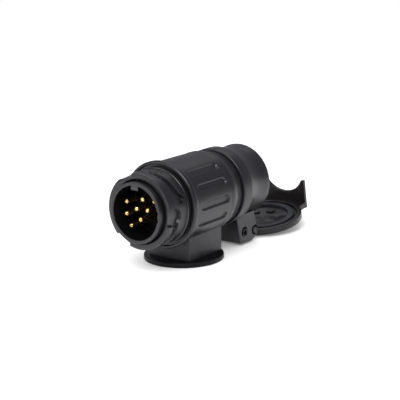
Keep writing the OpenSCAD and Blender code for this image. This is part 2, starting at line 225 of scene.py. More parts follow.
def makeMouldedMaterial(name, look):
    # satin moulded plastic or rubber: fine grain, faint cloudiness, rubbed edges, a little dust
    material, nodes, links = startMaterial(name)

    output = nodes.new("ShaderNodeOutputMaterial")
    output.label = "Finished surface"
    shader = nodes.new("ShaderNodeBsdfPrincipled")
    shader.label = "Moulded surface"
    shader.inputs["Metallic"].default_value = 0.0
    shader.inputs["IOR"].default_value = look["ior"]
    shader.inputs["Specular IOR Level"].default_value = look["specular"]
    shader.inputs["Specular Tint"].default_value = (*look["sheenTint"], 1)
    coordinates = nodes.new("ShaderNodeTexCoord")
    coordinates.label = "Place on the part"

    toneFrame = nodes.new("NodeFrame")
    toneFrame.label = "Cloudy tone"
    cloud = nodes.new("ShaderNodeTexNoise")
    cloud.label = "Slow clouds in the moulding"
    cloud.inputs["Scale"].default_value = look["cloudScale"]
    cloud.inputs["Detail"].default_value = 4
    cloud.inputs["Roughness"].default_value = 0.6
    cloudRamp = nodes.new("ShaderNodeValToRGB")
    cloudRamp.label = "Two tones of the mix"
    cloudRamp.color_ramp.elements[0].position = 0.3
    cloudRamp.color_ramp.elements[0].color = (*look["darkTone"], 1)
    cloudRamp.color_ramp.elements[1].position = 0.72
    cloudRamp.color_ramp.elements[1].color = (*look["lightTone"], 1)

    wearFrame = nodes.new("NodeFrame")
    wearFrame.label = "Rubbed edges"
    edge = nodes.new("ShaderNodeNewGeometry")
    edge.label = "Where the shape turns"
    edgeRamp = nodes.new("ShaderNodeValToRGB")
    edgeRamp.label = "Only the crests"
    edgeRamp.color_ramp.elements[0].position = 0.515
    edgeRamp.color_ramp.elements[0].color = (0, 0, 0, 1)
    edgeRamp.color_ramp.elements[1].position = 0.60
    edgeRamp.color_ramp.elements[1].color = (1, 1, 1, 1)
    wearNoise = nodes.new("ShaderNodeTexNoise")
    wearNoise.label = "Uneven handling"
    wearNoise.inputs["Scale"].default_value = 260
    wearNoise.inputs["Detail"].default_value = 5
    wearAmount = nodes.new("ShaderNodeMath")
    wearAmount.label = "Broken wear line"
    wearAmount.operation = "MULTIPLY"
    wearStrength = nodes.new("ShaderNodeMath")
    wearStrength.label = "How much wear shows"
    wearStrength.operation = "MULTIPLY"
    wearStrength.inputs[1].default_value = look["wear"]
    wearMix = nodes.new("ShaderNodeMix")
    wearMix.label = "Lighter where rubbed"
    wearMix.data_type = "RGBA"
    wearMix.inputs["B"].default_value = (*look["wornTone"], 1)

    dustFrame = nodes.new("NodeFrame")
    dustFrame.label = "Dust specks"
    dust = nodes.new("ShaderNodeTexVoronoi")
    dust.label = "Scattered specks"
    dust.inputs["Scale"].default_value = 420
    dust.inputs["Randomness"].default_value = 1
    dustRamp = nodes.new("ShaderNodeValToRGB")
    dustRamp.label = "Only the speck centres"
    dustRamp.color_ramp.elements[0].position = 0.03
    dustRamp.color_ramp.elements[0].color = (look["dust"], look["dust"], look["dust"], 1)
    dustRamp.color_ramp.elements[1].position = 0.09
    dustRamp.color_ramp.elements[1].color = (0, 0, 0, 1)
    dustMix = nodes.new("ShaderNodeMix")
    dustMix.label = "Dust over the colour"
    dustMix.data_type = "RGBA"
    dustMix.inputs["B"].default_value = (0.16, 0.155, 0.15, 1)

    sheenFrame = nodes.new("NodeFrame")
    sheenFrame.label = "Satin sheen"
    patch = nodes.new("ShaderNodeTexNoise")
    patch.label = "Handled patches"
    patch.inputs["Scale"].default_value = 70
    patch.inputs["Detail"].default_value = 5
    patch.inputs["Roughness"].default_value = 0.65
    patchRange = nodes.new("ShaderNodeMapRange")
    patchRange.label = "Sheen between two limits"
    patchRange.inputs["From Min"].default_value = 0.3
    patchRange.inputs["From Max"].default_value = 0.7
    patchRange.inputs["To Min"].default_value = look["roughness"] - look["roughnessSpread"]
    patchRange.inputs["To Max"].default_value = look["roughness"] + look["roughnessSpread"]
    sheenWear = nodes.new("ShaderNodeMath")
    sheenWear.label = "Smoother on the crests"
    sheenWear.operation = "MULTIPLY_ADD"
    sheenWear.inputs[1].default_value = -0.12

    grainFrame = nodes.new("NodeFrame")
    grainFrame.label = "Tool grain"
    grain = nodes.new("ShaderNodeTexNoise")
    grain.label = "Spark-eroded grain"
    grain.inputs["Scale"].default_value = look["grainScale"]
    grain.inputs["Detail"].default_value = 3
    grain.inputs["Roughness"].default_value = 0.55
    grainBump = nodes.new("ShaderNodeBump")
    grainBump.label = "Grain relief"
    grainBump.inputs["Strength"].default_value = look["grainStrength"]
    grainBump.inputs["Distance"].default_value = look["grainDepth"]
    sink = nodes.new("ShaderNodeTexNoise")
    sink.label = "Slight sink of thick walls"
    sink.inputs["Scale"].default_value = 60
    sink.inputs["Detail"].default_value = 2
    sinkBump = nodes.new("ShaderNodeBump")
    sinkBump.label = "Wavy surface"
    sinkBump.inputs["Strength"].default_value = 0.12
    sinkBump.inputs["Distance"].default_value = 0.0006

    for node in (cloud, cloudRamp):
        node.parent = toneFrame
    for node in (edge, edgeRamp, wearNoise, wearAmount, wearStrength, wearMix):
        node.parent = wearFrame
    for node in (dust, dustRamp, dustMix):
        node.parent = dustFrame
    for node in (patch, patchRange, sheenWear):
        node.parent = sheenFrame
    for node in (grain, grainBump, sink, sinkBump):
        node.parent = grainFrame
    layOut([(coordinates, cloud, cloudRamp), (edge, edgeRamp, wearNoise, wearAmount, wearStrength, wearMix),
            (dust, dustRamp, dustMix), (patch, patchRange, sheenWear), (sink, sinkBump, grain, grainBump)])
    shader.location, output.location = (300, 300), (600, 300)

    links.new(coordinates.outputs["Object"], cloud.inputs["Vector"])
    links.new(coordinates.outputs["Object"], wearNoise.inputs["Vector"])
    links.new(coordinates.outputs["Object"], dust.inputs["Vector"])
    links.new(coordinates.outputs["Object"], patch.inputs["Vector"])
    links.new(coordinates.outputs["Object"], grain.inputs["Vector"])
    links.new(coordinates.outputs["Object"], sink.inputs["Vector"])
    links.new(cloud.outputs["Fac"], cloudRamp.inputs["Fac"])
    links.new(edge.outputs["Pointiness"], edgeRamp.inputs["Fac"])
    links.new(edgeRamp.outputs["Color"], wearAmount.inputs[0])
    links.new(wearNoise.outputs["Fac"], wearAmount.inputs[1])
    links.new(wearAmount.outputs["Value"], wearStrength.inputs[0])
    links.new(wearStrength.outputs["Value"], wearMix.inputs["Factor"])
    links.new(cloudRamp.outputs["Color"], wearMix.inputs["A"])
    links.new(dust.outputs["Distance"], dustRamp.inputs["Fac"])
    links.new(dustRamp.outputs["Color"], dustMix.inputs["Factor"])
    links.new(wearMix.outputs["Result"], dustMix.inputs["A"])
    links.new(dustMix.outputs["Result"], shader.inputs["Base Color"])
    links.new(patch.outputs["Fac"], patchRange.inputs["Value"])
    links.new(wearStrength.outputs["Value"], sheenWear.inputs[0])
    links.new(patchRange.outputs["Result"], sheenWear.inputs[2])
    links.new(sheenWear.outputs["Value"], shader.inputs["Roughness"])
    links.new(sink.outputs["Fac"], sinkBump.inputs["Height"])
    links.new(grain.outputs["Fac"], grainBump.inputs["Height"])
    links.new(sinkBump.outputs["Normal"], grainBump.inputs["Normal"])
    links.new(grainBump.outputs["Normal"], shader.inputs["Normal"])
    links.new(shader.outputs["BSDF"], output.inputs["Surface"])
    return material


def makeMetalMaterial(name, look):
    # turned and plated metal: tool rings along the part, tarnish in patches, smeared polish
    material, nodes, links = startMaterial(name)

    output = nodes.new("ShaderNodeOutputMaterial")
    output.label = "Finished surface"
    shader = nodes.new("ShaderNodeBsdfPrincipled")
    shader.label = "Plated metal"
    shader.inputs["Metallic"].default_value = 1.0
    coordinates = nodes.new("ShaderNodeTexCoord")
    coordinates.label = "Place on the part"

    tarnishFrame = nodes.new("NodeFrame")
    tarnishFrame.label = "Tarnish"
    tarnish = nodes.new("ShaderNodeTexNoise")
    tarnish.label = "Tarnished patches"
    tarnish.inputs["Scale"].default_value = 480
    tarnish.inputs["Detail"].default_value = 6
    tarnish.inputs["Roughness"].default_value = 0.6
    tarnishRamp = nodes.new("ShaderNodeValToRGB")
    tarnishRamp.label = "Bright to tarnished"
    tarnishRamp.color_ramp.elements[0].position = 0.34
    tarnishRamp.color_ramp.elements[0].color = (*look["dullTone"], 1)
    tarnishRamp.color_ramp.elements[1].position = 0.56
    tarnishRamp.color_ramp.elements[1].color = (*look["brightTone"], 1)

    polishFrame = nodes.new("NodeFrame")
    polishFrame.label = "Polish"
    smear = nodes.new("ShaderNodeTexNoise")
    smear.label = "Smeared polish"
    smear.inputs["Scale"].default_value = 900
    smear.inputs["Detail"].default_value = 4
    smearRange = nodes.new("ShaderNodeMapRange")
    smearRange.label = "Polish between two limits"
    smearRange.inputs["To Min"].default_value = look["roughness"] * 0.7
    smearRange.inputs["To Max"].default_value = look["roughness"] * 1.4

    toolFrame = nodes.new("NodeFrame")
    toolFrame.label = "Tool rings"
    toolRings = nodes.new("ShaderNodeTexWave")
    toolRings.label = "Rings left by the lathe"
    toolRings.wave_type, toolRings.bands_direction = "BANDS", look["ringAxis"]
    toolRings.inputs["Scale"].default_value = 1500
    toolRings.inputs["Distortion"].default_value = 1.5
    toolBump = nodes.new("ShaderNodeBump")
    toolBump.label = "Ring relief"
    toolBump.inputs["Strength"].default_value = 0.15
    toolBump.inputs["Distance"].default_value = 0.00005

    for node in (tarnish, tarnishRamp):
        node.parent = tarnishFrame
    for node in (smear, smearRange):
        node.parent = polishFrame
    for node in (toolRings, toolBump):
        node.parent = toolFrame
    layOut([(coordinates, tarnish, tarnishRamp), (smear, smearRange), (toolRings, toolBump)])
    shader.location, output.location = (0, 300), (300, 300)

    links.new(coordinates.outputs["Object"], tarnish.inputs["Vector"])
    links.new(coordinates.outputs["Object"], smear.inputs["Vector"])
    links.new(coordinates.outputs["Object"], toolRings.inputs["Vector"])
    links.new(tarnish.outputs["Fac"], tarnishRamp.inputs["Fac"])
    links.new(tarnishRamp.outputs["Color"], shader.inputs["Base Color"])
    links.new(smear.outputs["Fac"], smearRange.inputs["Value"])
    links.new(smearRange.outputs["Result"], shader.inputs["Roughness"])
    links.new(toolRings.outputs["Fac"], toolBump.inputs["Height"])
    links.new(toolBump.outputs["Normal"], shader.inputs["Normal"])
    links.new(shader.outputs["BSDF"], output.inputs["Surface"])
    return material


shellLook = {
    "darkTone": (0.0035, 0.0033, 0.0042), "lightTone": (0.0062, 0.0058, 0.0074), "wornTone": (0.05, 0.049, 0.055),
    "cloudScale": 34, "roughness": 0.35, "roughnessSpread": 0.05, "ior": 1.5, "specular": 0.52, "wear": 0.5,
    "sheenTint": (0.99, 0.96, 1.0), "dust": 0.35, "grainScale": 2400, "grainStrength": 0.35, "grainDepth": 0.00006,
}
plasticShell = makeMouldedMaterial("satinBlackShell", shellLook)
plasticLid = makeMouldedMaterial("satinBlackLid", {
    **shellLook, "darkTone": (0.0040, 0.0033, 0.0036), "lightTone": (0.0068, 0.0057, 0.0060), "specular": 0.36})
# the foot's low gloss is its own finish; its darker colour is painted shade for the shadow it lies in under the sleeve
dullPaintedShadeFoot = makeMouldedMaterial("dullFootPaintedShade", {
    **shellLook, "darkTone": (0.0022, 0.0021, 0.0027), "lightTone": (0.0040, 0.0038, 0.0047), "roughness": 0.42,
    "specular": 0.16})
plasticPost = makeMouldedMaterial("dullPost", {**shellLook, "roughness": 0.40, "specular": 0.34})
plasticInsert = makeMouldedMaterial("contactInsert", {
    **shellLook, "darkTone": (0.0035, 0.0035, 0.004), "lightTone": (0.006, 0.006, 0.007), "roughness": 0.4,
    "grainStrength": 0.25, "dust": 0.15})
# painted shade: a darker, duller copy of the shell plastic for the faces deep inside the mouth, where shade falls
mouthPaintedShade = makeMouldedMaterial("paintedShadeMouth", {
    **shellLook, "darkTone": (0.0012, 0.0012, 0.0015), "lightTone": (0.0022, 0.0022, 0.0026), "roughness": 0.5,
    "specular": 0.12, "wear": 0.0, "dust": 0.0})
rubberSeal = makeMouldedMaterial("sealRubber", {
    **shellLook, "darkTone": (0.004, 0.004, 0.005), "lightTone": (0.008, 0.008, 0.009), "roughness": 0.24,
    "specular": 0.7, "wear": 0.2, "grainScale": 3200})
rubberGasket = makeMouldedMaterial("gasketRubber", {
    **shellLook, "darkTone": (0.005, 0.006, 0.009), "lightTone": (0.014, 0.016, 0.021), "roughness": 0.45,
    "roughnessSpread": 0.1, "cloudScale": 210, "specular": 0.4, "wear": 0.2, "grainScale": 1500, "grainStrength": 0.5})
wireCoat = makeMouldedMaterial("wireCoat", {
    **shellLook, "darkTone": (0.20, 0.035, 0.030), "lightTone": (0.26, 0.05, 0.04), "roughness": 0.4})
brass = makeMetalMaterial("pinBrass", {
    "brightTone": (0.86, 0.62, 0.27), "dullTone": (0.52, 0.33, 0.11), "roughness": 0.24, "ringAxis": "Y"})
platedSteel = makeMetalMaterial("platedSteel", {
    "brightTone": (0.60, 0.61, 0.63), "dullTone": (0.40, 0.40, 0.41), "roughness": 0.3, "ringAxis": "Y"})
blackenedSteel = makeMetalMaterial("blackenedPin", {
    "brightTone": (0.075, 0.075, 0.078), "dullTone": (0.040, 0.039, 0.040), "roughness": 0.42, "ringAxis": "X"})
print("materials made")


# twist grip with its post and foot
gripSetup = {
    "steps": 480, "front": -23.3, "noseRadius": 22.1, "noseEnd": -20.6, "end": 27.7, "seatRadius": 20.55,
    "seatEnd": -16.7, "bearingRadius": 17.5, "frontBearingEnd": -10.0, "backBearingFrom": 19.0, "hollowRadius": 20.9,
    "bodyRadius": 23.95, "bodyTaper": 0.25, "bodyFrom": -17.2, "bodyTo": 15.6, "fluteAngles": (51, 26, 1, -24),
    "fluteHalfWidth": 2.1, "fluteFrom": -14.5, "fluteTo": 12.6, "fluteDepth": 1.1, "wallOut": 0.45, "wallIn": 0.6,
    "rowPitch": 0.36, "bead": (23.9, -20.9, 1.3), "taperCentre": (11.85, 17.5), "taperRadius": 12.0,
    "notchHalfWidth": 0.42, "notchFloor": 24.7, "notchEnd": -20.2,
}


def makeGrip(setup):
    bodyRadius, bodyFrom, bodyTo = setup["bodyRadius"], setup["bodyFrom"], setup["bodyTo"]
    rowCount = int((bodyTo - bodyFrom) / setup["rowPitch"])
    rows = [(bodyRadius - setup["bodyTaper"] * i / rowCount, bodyFrom + (bodyTo - bodyFrom) * i / rowCount)
            for i in range(rowCount + 1)]
    bead, front, end = setup["bead"], setup["front"], setup["end"]
    seat, nose, noseEnd = setup["seatRadius"], setup["noseRadius"], setup["noseEnd"]
    outline = [(seat, front), (nose, front), (nose, noseEnd), (nose + 1.1, noseEnd)]
    outline += arcPoints(bead[:2], bead[2], -100, 0, 12)
    outline += [(25.2, -19.5), (25.08, -19.1), (24.7, -18.65), (24.28, -18.25), (24.06, -17.8)] + rows
    outline += [(23.74, 15.9), (23.8, 16.35), (23.84, 16.8)]
    outline += arcPoints(setup["taperCentre"], setup["taperRadius"], 0, 28, 14)
    bearing, hollow, seatEnd = setup["bearingRadius"], setup["hollowRadius"], setup["seatEnd"]
    outline += [(22.12, end - 0.35), (21.98, end - 0.1), (21.7, end), (bearing, end),
                (bearing, setup["backBearingFrom"]), (hollow, setup["backBearingFrom"]),
                (hollow, setup["frontBearingEnd"]), (bearing, setup["frontBearingEnd"]), (bearing, seatEnd),
                (seat, seatEnd)]
    bm = spinOutline(outline, setup["steps"])
    middle, straight = (setup["fluteFrom"] + setup["fluteTo"]) / 2, (setup["fluteTo"] - setup["fluteFrom"]) / 2
    straight -= setup["fluteHalfWidth"]
    angles = [a for flute in setup["fluteAngles"] for a in (flute, 180 - flute)]

    def flutedRadius(angle, y, radius):
        away = min(abs((angle - a + 180) % 360 - 180) for a in angles)
        across = math.radians(away) * bodyRadius
        beyond = max(0.0, abs(y - middle) - straight)
        edge = math.hypot(across, beyond) - setup["fluteHalfWidth"]
        return radius - setup["fluteDepth"] * (1 - easeStep(-setup["wallIn"], setup["wallOut"], edge))

    pressRadially(bm, bodyRadius - setup["bodyTaper"] - 0.05, (bodyFrom + 0.1, bodyTo - 0.1), flutedRadius)
    piece = placeMesh(bm, "gripShell")
    # moulding notch across the top of the bead
    notch = makeBlock((-setup["notchHalfWidth"], front - 0.2, axisHeight + setup["notchFloor"]),
                      (setup["notchHalfWidth"], setup["notchEnd"], axisHeight + setup["notchFloor"] + 1.8))
    softenEdges(notch, 0.12, 2, 60)
    combine(piece, [notch])
    return finishPiece(piece, "grip", plasticShell, ["grip_body"])


makeGrip(gripSetup)

postSetup = {"halfWidth": 14.4, "front": -14.0, "back": 17.4, "base": 2.9, "wall": 2.6, "edge": 0.4,
             "top": 21.0, "coreTop": 10.9, "seatRadius": 22.4}


def makePost(setup):
    half, front, back, base, wall = (setup[k] for k in ("halfWidth", "front", "back", "base", "wall"))
    bm = makeBlock((-half, front, base), (half, back, setup["top"]))
    softenEdges(bm, setup["edge"], 3, 60, lambda e: abs(e.verts[0].co.z - e.verts[1].co.z) > 1)
    piece = placeMesh(bm, "restPost")
    core = makeBlock((-half + wall, front + wall, base - 2), (half - wall, back - wall, setup["coreTop"]))
    # the post's top is cut round, to sit inside the grip's wall
    seatRadius = setup["seatRadius"]
    seat = spinOutline([(0, -30), (seatRadius, -30), (seatRadius, 30), (0, 30)], 240, closed=False)
    combine(piece, [core, seat])
    return finishPiece(piece, "grip", plasticPost, ["grip_body"])


makePost(postSetup)

footSetup = {"radius": 23.2, "thickness": 2.9, "edge": 0.7}


def makeFoot(setup):
    # turned about Y, then stood upright on the foot's own axis
    outline = [(0, 0), (setup["radius"], 0), (setup["radius"], setup["thickness"]), (0, setup["thickness"])]
    bm = spinOutline(outline, 240, setup["edge"], (1, 2), 5, closed=False, centre=(0, 0, 0))
    bmesh.ops.rotate(bm, cent=(0, 0, 0), matrix=Matrix.Rotation(math.pi / 2, 3, "X"), verts=bm.verts[:])
    # the foot wears the dull material whose darker colour is painted shade
    return finishPiece(placeMesh(bm, "footDisc"), "grip", dullPaintedShadeFoot, ["rest_foot"])


makeFoot(footSetup)
print("grip, post and foot made")

# bayonet sleeve and the seal behind it
sleeveSetup = {
    "steps": 600, "front": -40.5, "radius": 21.75, "bore": 18.2, "shoulder": -24.6, "spigotRadius": 20.5,
    "spigotEnd": -19.3, "rowPitch": 0.28, "entryAngles": (117, 237, 357), "entryRadius": 5.1, "entryReach": 4.6,
    "grooveHalf": 2.15, "grooveDepth": 1.9, "grooveStart": 5.7, "grooveRise": 3.3, "latchRise": 2.6,
    "sweepFrom": 8.0, "sweep": 87.0, "sweepReach": (-25.0, 125.0), "pathSteps": 60, "pocketRadius": 2.85,
    "wallOut": 0.16, "wallIn": 0.22,
}


def makeSleeve(setup):
    front, radius, bore = setup["front"], setup["radius"], setup["bore"]
    rowCount = int((setup["shoulder"] - front - 0.9) / setup["rowPitch"])
    rowsFrom, rowsTo = front + 0.55, setup["shoulder"] - 0.2
    rows = [(radius, rowsFrom + (rowsTo - rowsFrom) * i / rowCount) for i in range(rowCount + 1)]
    outline = [(bore, front + 0.45), (bore + 0.13, front + 0.13), (bore + 0.45, front), (19.3, front), (20.0, front),
               (radius - 0.5, front), (radius - 0.17, front + 0.14)] + rows
    outline += [(radius - 0.15, setup["shoulder"]), (setup["spigotRadius"], setup["shoulder"]),
                (setup["spigotRadius"], setup["spigotEnd"]), (bore, setup["spigotEnd"])]
    bm = spinOutline(outline, setup["steps"])
    # the groove's middle line climbs slowly, then turns up into its latch pocket
    path = []
    for i in range(setup["pathSteps"] + 1):
        t = i / setup["pathSteps"]
        along = math.radians(setup["sweepFrom"] + setup["sweep"] * t) * radius
        path.append((along, front + setup["grooveStart"] + setup["grooveRise"] * t + setup["latchRise"] * t ** 8))
    entryRadius, entryY = setup["entryRadius"], front + setup["entryReach"]
    grooveHalf, endU, endY = setup["grooveHalf"], path[-1][0], path[-1][1]

    def edgeDistance(u, y):
        # u runs round the sleeve from the middle of the entry, along the twist
        entry = math.hypot(u, max(0.0, y - entryY)) - entryRadius
        groove = min(math.hypot(u - a[0], y - a[1]) for a in path[::2]) - grooveHalf
        pocket = math.hypot(u - endU, y - endY) - setup["pocketRadius"]
        return min(entry, groove, pocket)

    backward, forward = setup["sweepReach"]

    def groovedRadius(angle, y, here):
        best = here
        for entryAngle in setup["entryAngles"]:
            turned = (entryAngle - angle + 180) % 360 - 180
            if turned < backward:
                turned += 360
            if turned > forward:
                continue
            edge = edgeDistance(math.radians(turned) * radius, y)
            floorRadius = radius - setup["grooveDepth"]
            cut = (1 - easeStep(-setup["wallIn"], setup["wallOut"], edge)) * max(0.0, here - floorRadius)
            best = min(best, here - cut)
        return best

    pressRadially(bm, 19.9, (front - 0.1, setup["shoulder"] - 0.1), groovedRadius)
    piece = placeMesh(bm, "bayonetSleeve")
    return finishPiece(piece, "grip", plasticShell, ["bayonet_sleeve"])


makeSleeve(sleeveSetup)

sealSetup = {"inner": 20.55, "front": -24.6, "thickness": 1.2, "crest": 21.5}


def makeFrontSeal(setup):
    half = setup["thickness"] / 2
    middle = setup["front"] + half
    outline = [(setup["inner"], middle + half), (setup["inner"], middle - half)]
    outline += arcPoints((setup["crest"], middle), half, -90, 90, 12)
    return finishPiece(placeMesh(spinOutline(outline, 300), "frontSeal"), "grip", rubberSeal,
                       ["front_seal"])


makeFrontSeal(sealSetup)
print("sleeve and seal made")

# plug insert and its pins
insertSetup = {
    "mouth": -44.1, "outer": 17.45, "bore": 15.4, "carrierFront": -26.0, "carrierBack": -20.0, "neckBore": 14.6,
    "collar": 19.6, "collarFrom": -19.0, "collarTo": -17.0, "sealGroove": 15.95, "sealFrom": -14.4, "sealTo": -12.6,
    "neck": 16.0, "neckFrom": 28.4, "neckEnd": 35.6, "lip": 0.45, "keyHalfWidth": 2.4, "keyInner": 12.9,
    "keyLength": 13.0, "keywayAngles": (7, -9), "keywayDepth": 0.72, "keywayHalfWidth": 0.9, "keywayLength": 9.0,
    "dishRadius": 2.3, "dishDepth": 0.7, "holeRadius": 1.55, "flangeRadius": 2.25, "flangeFrom": -21.5,
    "pinSpots": ((-10.4, 4.3), (1, 6.8), (-3.3, 0.9), (4.3, 0.9), (-10.6, -2.8), (-0.6, -5), (-7.3, -9.3), (9.3, 6.7)),
}


def makeInsert(setup):
    mouth, outer, bore, lip = setup["mouth"], setup["outer"], setup["bore"], setup["lip"]
    collar, groove, neck, neckBore = setup["collar"], setup["sealGroove"], setup["neck"], setup["neckBore"]
    outline = [(0, setup["carrierFront"]), (bore, setup["carrierFront"]), (bore, mouth), (outer, mouth),
               (outer, setup["collarFrom"]), (collar, setup["collarFrom"]), (collar, setup["collarTo"]),
               (outer, setup["collarTo"]), (outer, setup["sealFrom"]), (groove, setup["sealFrom"]),
               (groove, setup["sealTo"]), (outer, setup["sealTo"]), (outer, setup["neckFrom"]),
               (neck, setup["neckFrom"]), (neck, setup["neckEnd"]), (neckBore, setup["neckEnd"]),
               (neckBore, setup["carrierBack"]), (0, setup["carrierBack"])]
    piece = placeMesh(spinOutline(outline, 360, lip, (1, 2, 3), 4, closed=False), "plugInsert")
    key = makeBlock((-setup["keyHalfWidth"], mouth + 0.12, axisHeight + setup["keyInner"]),
                    (setup["keyHalfWidth"], mouth + setup["keyLength"], axisHeight + bore + 0.8))
    softenEdges(key, 0.35, 3, 60, lambda e: e.calc_length() > 8 and e.verts[0].co.z < axisHeight + 14)
    combine(piece, [key], "UNION")
    tools = []
    slotHalf = setup["keywayHalfWidth"]
    for angle in setup["keywayAngles"]:
        slot = makeBlock((bore - 1.2, mouth - 1, -slotHalf),
                         (bore + setup["keywayDepth"], mouth + setup["keywayLength"], slotHalf))
        turn = Matrix.Rotation(-math.radians(angle), 3, "Y")
        bmesh.ops.rotate(slot, cent=(0, 0, 0), matrix=turn, verts=slot.verts[:])
        bmesh.ops.translate(slot, vec=axisPoint, verts=slot.verts[:])
        tools.append(slot)
    for x, z in setup["pinSpots"]:
        # a shallow dish round the pin, then the pin's own hole
        front, dish, hole, flange = (setup[k] for k in ("carrierFront", "dishRadius", "holeRadius", "flangeRadius"))
        dishFloor, back = front + setup["dishDepth"], setup["carrierBack"] + 1
        outline = [(0, front - 1), (dish + 0.4, front - 1), (dish + 0.4, front), (dish, dishFloor), (hole, dishFloor),
                   (hole, setup["flangeFrom"]), (flange, setup["flangeFrom"]), (flange, back), (0, back)]
        tools.append(spinOutline(outline, 40, closed=False, centre=(x, 0, axisHeight + z)))
    combine(piece, tools)
    finishPiece(piece, "core", plasticShell, ["plug_insert"])
    # the faces inside the mouth get a duller material with painted shade: its darker colour stands in for the shade
    # deep inside the mouth
    piece.data.materials.append(mouthPaintedShade)
    for face in piece.data.polygons:
        x, y, z = face.center / millimetre
        if y > mouth + lip and y < setup["carrierBack"] and math.hypot(x, z - axisHeight) < bore + 0.2:
            face.material_index = 1
    return piece


makeInsert(insertSetup)

pinSetup = {"radius": 1.5, "recess": 4.8, "flange": 2.2, "tail": 1.0, "tailEnd": -15.5, "flangeEnd": -20.0,
            "shoulder": -21.4, "rings": (-24, -28, -32, -34.6)}


def makePin(index, spot, setup):
    tip, radius = insertSetup["mouth"] + setup["recess"], setup["radius"]
    outline = [(0, setup["tailEnd"]), (setup["tail"], setup["tailEnd"]), (setup["tail"], setup["flangeEnd"]),
               (setup["flange"], setup["flangeEnd"]), (setup["flange"], setup["shoulder"]),
               (radius, setup["shoulder"])]
    outline += [(radius, y) for y in setup["rings"]]
    outline += arcPoints((0, tip + radius), radius, 0, -90, 14)
    outline[-1] = (0, tip)
    bm = spinOutline(outline, 40, closed=False, centre=(spot[0], 0, axisHeight + spot[1]))
    return finishPiece(placeMesh(bm, f"plugPin{index}"), "core", brass, [f"plug_pin_{index}"])


for index, spot in enumerate(insertSetup["pinSpots"], 1):
    makePin(index, spot, pinSetup)
print("plug insert and pins made")

# socket barrel with its hinge block
barrelSetup = {
    "steps": 300, "front": 28.8, "bandRadius": 23.3, "rim": 57.5, "rimRadius": 21.4, "seat": (20.4, 56.0),
    "bore": 18.3, "ringGroove": (42.0, 43.1, 0.7), "shoulder": 38.0, "shoulderRadius": 17.85, "wallBack": 33.0,
    "neckHole": 16.05, "keyHalfWidth": 2.6, "keyTop": 19.5, "keyFrom": 42.0, "blockHalfWidth": 14.5,
    "blockEdge": 0.35, "blockTopRadius": 19.6, "slotHalfWidth": 6.6, "slotFrom": 44.9, "slotTop": 11.5,
    "recessRadius": 3.1, "recessDepth": 1.2, "hingeRecess": (-0.9, 0.3), "tubeRecess": (-1.1, 0.8),
    "hinge": (52.5, 6.8), "hingeRadius": 2.1, "tube": (42.0, 7.4), "tubeRadius": 2.4,
}


def makeBarrel(setup):
    half = setup["blockHalfWidth"]
    side = [(33, 19), (33.2, 16.6), (36.7, 1.8), (37.6, 1.1), (48.5, 1.1), (52.9, 2.6)]
    side += arcPoints((52.05, 6.15), 3.2, -52, 12, 10) + [(51.4, 17.5), (51, 19)]
    bm = extrudeOutline(side, -half, half)
    softenEdges(bm, setup["blockEdge"], 3, 14, lambda e: max(v.co.z for v in e.verts) < 18.5
                or abs(e.verts[0].co.z - e.verts[1].co.z) > 0.5)
    block = placeMesh(bm, "hingeBlock")
    hingeY, hingeZ = setup["hinge"]
    tubeY, tubeZ = setup["tube"]
    slotHalf, reach = setup["slotHalfWidth"], half + 5.5
    tools = [makeBlock((-slotHalf, setup["slotFrom"], -1), (slotHalf, 65, setup["slotTop"])),
             makeRod((-reach, hingeY, hingeZ), (reach, hingeY, hingeZ), setup["hingeRadius"]),
             makeRod((-reach, tubeY, tubeZ), (reach, tubeY, tubeZ), setup["tubeRadius"])]
    recesses = [(spot[0] + shift[0], spot[1] + shift[1])
                for spot, shift in ((setup["hinge"], setup["hingeRecess"]), (setup["tube"], setup["tubeRecess"]))]
    for sign in (-1, 1):
        for y, z in recesses:
            tools.append(makeRod((sign * (half - setup["recessDepth"]), y, z), (sign * (half + 2), y, z),
                                 setup["recessRadius"]))
    # the block's top is cut to sit inside the barrel's wall
    topRadius = setup["blockTopRadius"]
    tools.append(spinOutline([(0, 25), (topRadius, 25), (topRadius, 60), (0, 60)], 240, closed=False))
    combine(block, tools)

    rim, rimRadius, front, band = setup["rim"], setup["rimRadius"], setup["front"], setup["bandRadius"]
    bore, shoulder, wallBack, neckHole = setup["bore"], setup["shoulder"], setup["wallBack"], setup["neckHole"]
    (seatRadius, seatY), (grooveFrom, grooveTo, grooveDepth) = setup["seat"], setup["ringGroove"]
    outline = [(neckHole, front), (band - 0.4, front), (band, front + 0.5), (band, 36.8), (band - 0.6, 38),
               (band - 1.6, 42.5), (band - 2.1, 45.5), (band - 2.3, 51), (rimRadius, 55), (rimRadius, rim),
               (seatRadius, rim), (seatRadius, seatY), (bore, seatY), (bore, grooveTo),
               (bore + grooveDepth, grooveTo), (bore + grooveDepth, grooveFrom), (bore, grooveFrom),
               (bore, shoulder), (setup["shoulderRadius"], shoulder), (setup["shoulderRadius"], wallBack),
               (neckHole, wallBack)]
    bm = spinOutline(outline, setup["steps"], 0.3, (1, 2, 3, 4, 9, 10, 12), 3)
    piece = placeMesh(bm, "socketBarrel")
    # keyway at the top of the bore, open at the rim
    keyHalf = setup["keyHalfWidth"]
    key = makeBlock((-keyHalf, setup["keyFrom"], axisHeight + 17), (keyHalf, 60, axisHeight + setup["keyTop"]))
    softenEdges(key, 0.3, 2, 60, lambda e: abs(e.verts[0].co.y - e.verts[1].co.y) > 1)
    combine(piece, [key])
    applyTool(piece, block, "UNION")
    return finishPiece(piece, "core", plasticShell, ["barrel"])


makeBarrel(barrelSetup)

crossPinSetup = {"halfLength": 14.5, "edge": 0.25, "tubeBore": 1.65}


